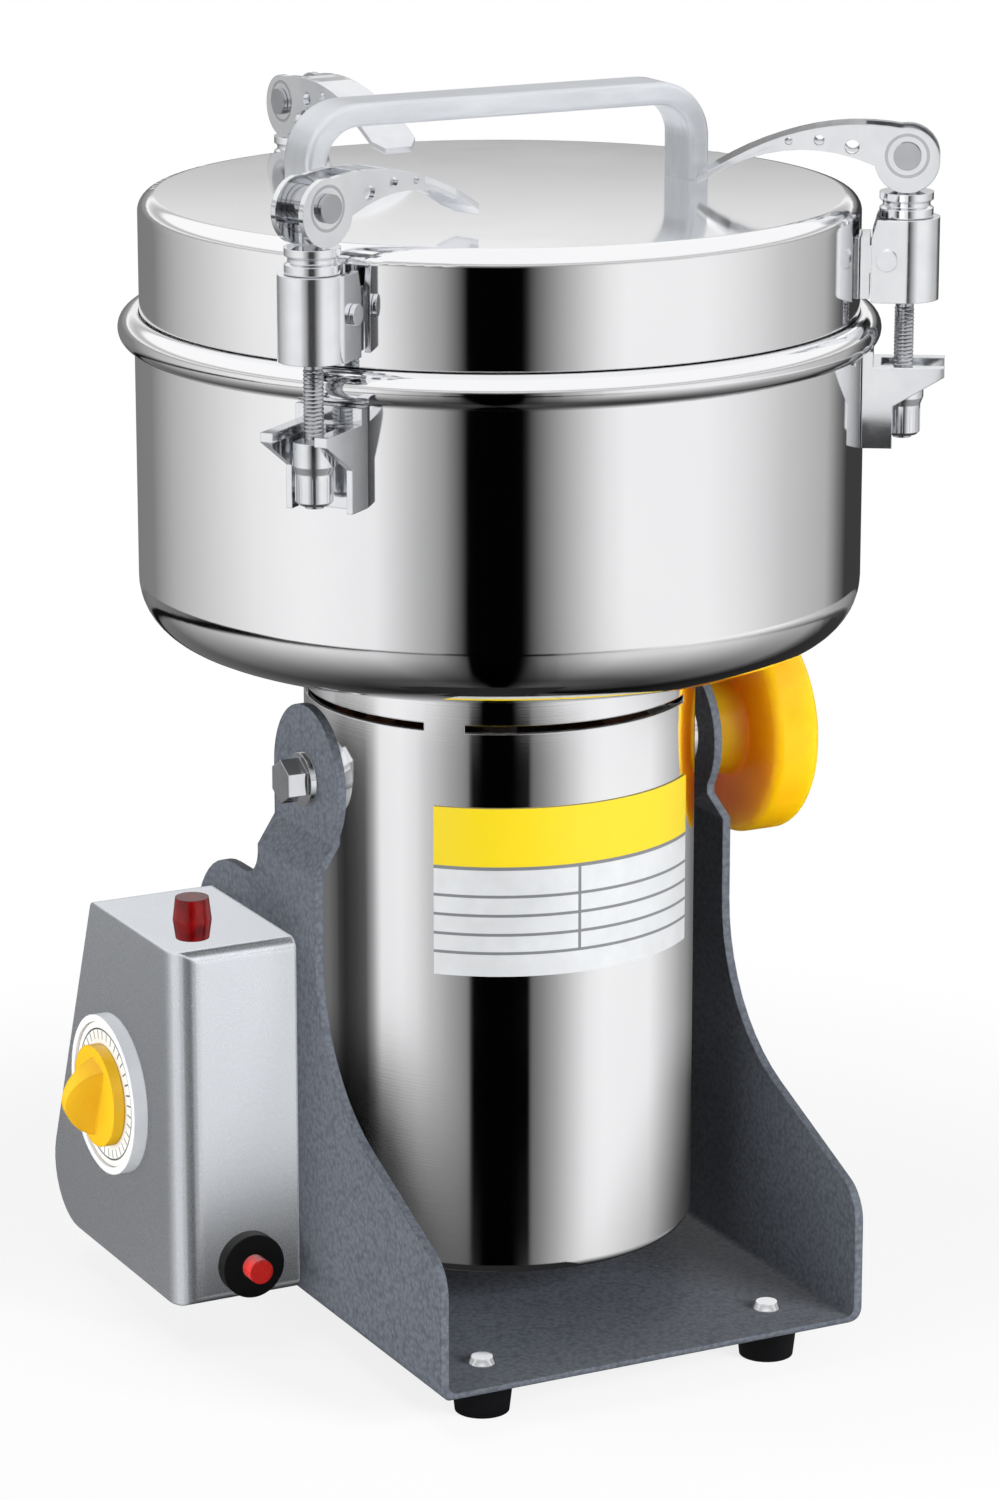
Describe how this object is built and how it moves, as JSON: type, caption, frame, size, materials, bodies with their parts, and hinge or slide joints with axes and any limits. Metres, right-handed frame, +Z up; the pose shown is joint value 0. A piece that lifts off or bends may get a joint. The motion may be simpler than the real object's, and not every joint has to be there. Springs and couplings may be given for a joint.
{
  "type": "tilting electric grain mill",
  "caption": "Swing-type electric grain mill: polished bowl with latched lid on a motor barrel that tilts in a bent sheet stand, with a side control box, timer, lamp and reset",
  "frame": {"origin": "middle of the part's floor plan, at floor level under the rubber feet; the motor axis stands at x 5.7 mm, y -10.6 mm", "axes": "+Z up, -Y the open front of the stand, -X the side with the control box, +X the side with the lock knob"},
  "size_m": [0.2718, 0.2723, 0.4165],
  "materials": {
    "hammered_paint": "blue-grey hammertone paint",
    "silver_paint": "smooth silver paint",
    "polished_steel": "mirror-polished stainless steel",
    "plated_steel": "bright zinc-plated steel",
    "handle_alloy": "satin aluminium",
    "cast_alloy": "plain cast aluminium",
    "yellow_plastic": "glossy yellow moulding",
    "red_plastic": "glossy red moulding",
    "lamp_red": "clear deep red lens",
    "white_plastic": "matt white moulding",
    "black_plastic": "matt black moulding",
    "black_rubber": "matt black rubber",
    "seal_rubber": "white silicone rubber",
    "label_film": "printed metal plate",
    "core_steel": "dark laminated steel",
    "copper": "enamelled copper"
  },
  "bodies": {
    "stand": {"stand_frame": "hammered_paint", "feet": "black_rubber", "foot_screws": "plated_steel", "control_box": "silver_paint", "box_screws": "plated_steel", "timer_body": "white_plastic", "timer_dial": "white_plastic", "timer_bezel": "handle_alloy", "lamp_lens": "lamp_red", "reset_body": "black_plastic", "cord_gland": "black_plastic"},
    "timer_knob": {"timer_knob": "yellow_plastic"},
    "reset_button": {"reset_button": "red_plastic"},
    "head": {"motor_barrel": "polished_steel", "label_plate": "label_film", "trunnion_bosses": "plated_steel", "pivot_bolt": "plated_steel", "pivot_washer": "plated_steel", "top_flange": "cast_alloy", "lower_plate": "cast_alloy", "upper_bearing": "plated_steel", "lower_bearing": "plated_steel", "stator_core": "core_steel", "stator_coils": "copper", "brush_gear": "black_plastic", "bowl": "polished_steel", "bowl_screws": "plated_steel", "floor_seal": "black_rubber", "bowl_catches": "polished_steel"},
    "rotor": {"motor_shaft": "plated_steel", "rotor_core": "core_steel", "commutator": "copper", "cooling_fan": "black_plastic", "blade_lower": "plated_steel", "blade_upper": "plated_steel", "blade_nut": "plated_steel"},
    "lock_washer": {"lock_washer": "plated_steel"},
    "lock_knob": {"lock_knob": "yellow_plastic", "lock_stud": "plated_steel"},
    "lid": {"lid": "polished_steel", "lid_gasket": "seal_rubber", "lid_handle": "handle_alloy", "handle_screws": "plated_steel", "lid_brackets": "polished_steel", "hinge_rivets": "plated_steel"},
    "latch_a_housing": {"latch_a_housing": "polished_steel"},
    "latch_a_collar": {"latch_a_collar": "polished_steel"},
    "latch_a_bolt": {"latch_a_bolt": "plated_steel"},
    "latch_a_lever": {"latch_a_lever": "polished_steel"},
    "latch_a_nut": {"latch_a_nut": "polished_steel"},
    "latch_b_housing": {"latch_b_housing": "polished_steel"},
    "latch_b_collar": {"latch_b_collar": "polished_steel"},
    "latch_b_bolt": {"latch_b_bolt": "plated_steel"},
    "latch_b_lever": {"latch_b_lever": "polished_steel"},
    "latch_b_nut": {"latch_b_nut": "polished_steel"},
    "latch_c_housing": {"latch_c_housing": "polished_steel"},
    "latch_c_collar": {"latch_c_collar": "polished_steel"},
    "latch_c_bolt": {"latch_c_bolt": "plated_steel"},
    "latch_c_lever": {"latch_c_lever": "polished_steel"},
    "latch_c_nut": {"latch_c_nut": "polished_steel"}
  },
  "joints": [
    {"name": "head_tilt", "type": "hinge", "parent": "stand", "child": "head", "pos_m": [0.0057, -0.0106, 0.193], "axis": [1, 0, 0], "range_deg": [0, 90]},
    {"name": "lock_slide", "type": "slide", "parent": "head", "child": "lock_washer", "axis": [1, 0, 0], "range_m": [0, 0.00125]},
    {"name": "lock_turn", "type": "hinge", "parent": "lock_washer", "child": "lock_knob", "pos_m": [0.0957, -0.0106, 0.193], "axis": [1, 0, 0], "range_deg": [0, 360]},
    {"name": "rotor_spin", "type": "hinge", "parent": "head", "child": "rotor", "pos_m": [0.0057, -0.0106, 0.193], "axis": [0, 0, 1], "continuous": true},
    {"name": "lid_lift", "type": "slide", "parent": "head", "child": "lid", "axis": [0, 0, 1], "range_m": [0, 0.06]},
    {"name": "timer_turn", "type": "hinge", "parent": "stand", "child": "timer_knob", "pos_m": [-0.1167, 0.0364, 0.077], "axis": [1, 0, 0], "range_deg": [0, 300]},
    {"name": "reset_press", "type": "slide", "parent": "stand", "child": "reset_button", "axis": [0, 1, 0], "range_m": [0, 0.003], "stiffness_N_per_m": 300},
    {"name": "latch_a_swing", "type": "hinge", "parent": "lid", "child": "latch_a_housing", "pos_m": [-0.0949, -0.08779, 0.364], "axis": [-0.6088, 0.7934, 0], "range_deg": [0, 18]},
    {"name": "latch_a_swivel", "type": "hinge", "parent": "latch_a_housing", "child": "latch_a_collar", "pos_m": [-0.09966, -0.09144, 0.34], "axis": [0, 0, 1], "range_deg": [-72, 108]},
    {"name": "latch_a_draw", "type": "slide", "parent": "latch_a_collar", "child": "latch_a_bolt", "axis": [0, 0, 1], "range_m": [-0.001, 0]},
    {"name": "latch_a_lever_turn", "type": "hinge", "parent": "latch_a_bolt", "child": "latch_a_lever", "pos_m": [-0.09966, -0.09144, 0.39755], "axis": [0.3338, -0.9426, 0], "range_deg": [0, 100]},
    {"name": "latch_a_nut_turn", "type": "hinge", "parent": "latch_a_bolt", "child": "latch_a_nut", "pos_m": [-0.09966, -0.09144, 0.34], "axis": [0, 0, 1], "range_deg": [-180, 180]},
    {"name": "latch_b_swing", "type": "hinge", "parent": "lid", "child": "latch_b_housing", "pos_m": [0.11323, -0.07779, 0.364], "axis": [-0.5299, -0.848, 0], "range_deg": [0, 18]},
    {"name": "latch_b_swivel", "type": "hinge", "parent": "latch_b_housing", "child": "latch_b_collar", "pos_m": [0.11832, -0.08097, 0.34], "axis": [0, 0, 1], "range_deg": [-90, 90]},
    {"name": "latch_b_draw", "type": "slide", "parent": "latch_b_collar", "child": "latch_b_bolt", "axis": [0, 0, 1], "range_m": [-0.001, 0]},
    {"name": "latch_b_lever_turn", "type": "hinge", "parent": "latch_b_bolt", "child": "latch_b_lever", "pos_m": [0.11832, -0.08097, 0.39755], "axis": [0.5299, 0.848, 0], "range_deg": [0, 100]},
    {"name": "latch_b_nut_turn", "type": "hinge", "parent": "latch_b_bolt", "child": "latch_b_nut", "pos_m": [0.11832, -0.08097, 0.34], "axis": [0, 0, 1], "range_deg": [-180, 180]},
    {"name": "latch_c_swing", "type": "hinge", "parent": "lid", "child": "latch_c_housing", "pos_m": [-0.00447, 0.11579, 0.364], "axis": [0.9968, 0.0802, 0], "range_deg": [0, 18]},
    {"name": "latch_c_swivel", "type": "hinge", "parent": "latch_c_housing", "child": "latch_c_collar", "pos_m": [-0.00495, 0.12177, 0.34], "axis": [0, 0, 1], "range_deg": [-90, 90]},
    {"name": "latch_c_draw", "type": "slide", "parent": "latch_c_collar", "child": "latch_c_bolt", "axis": [0, 0, 1], "range_m": [-0.001, 0]},
    {"name": "latch_c_lever_turn", "type": "hinge", "parent": "latch_c_bolt", "child": "latch_c_lever", "pos_m": [-0.00495, 0.12177, 0.39755], "axis": [-0.9968, -0.0802, 0], "range_deg": [0, 100]},
    {"name": "latch_c_nut_turn", "type": "hinge", "parent": "latch_c_bolt", "child": "latch_c_nut", "pos_m": [-0.00495, 0.12177, 0.34], "axis": [0, 0, 1], "range_deg": [-180, 180]}
  ],
  "couplings": [
    {"joint": "lock_slide", "follows": "lock_turn", "m_per_rad": 0.00019894},
    {"joint": "latch_a_swing", "follows": "latch_a_lever_turn", "ratio": 0.18},
    {"joint": "latch_a_draw", "follows": "latch_a_lever_turn", "m_per_rad": -0.00057296},
    {"joint": "latch_b_swing", "follows": "latch_b_lever_turn", "ratio": 0.18},
    {"joint": "latch_b_draw", "follows": "latch_b_lever_turn", "m_per_rad": -0.00057296},
    {"joint": "latch_c_swing", "follows": "latch_c_lever_turn", "ratio": 0.18},
    {"joint": "latch_c_draw", "follows": "latch_c_lever_turn", "m_per_rad": -0.00057296}
  ]
}
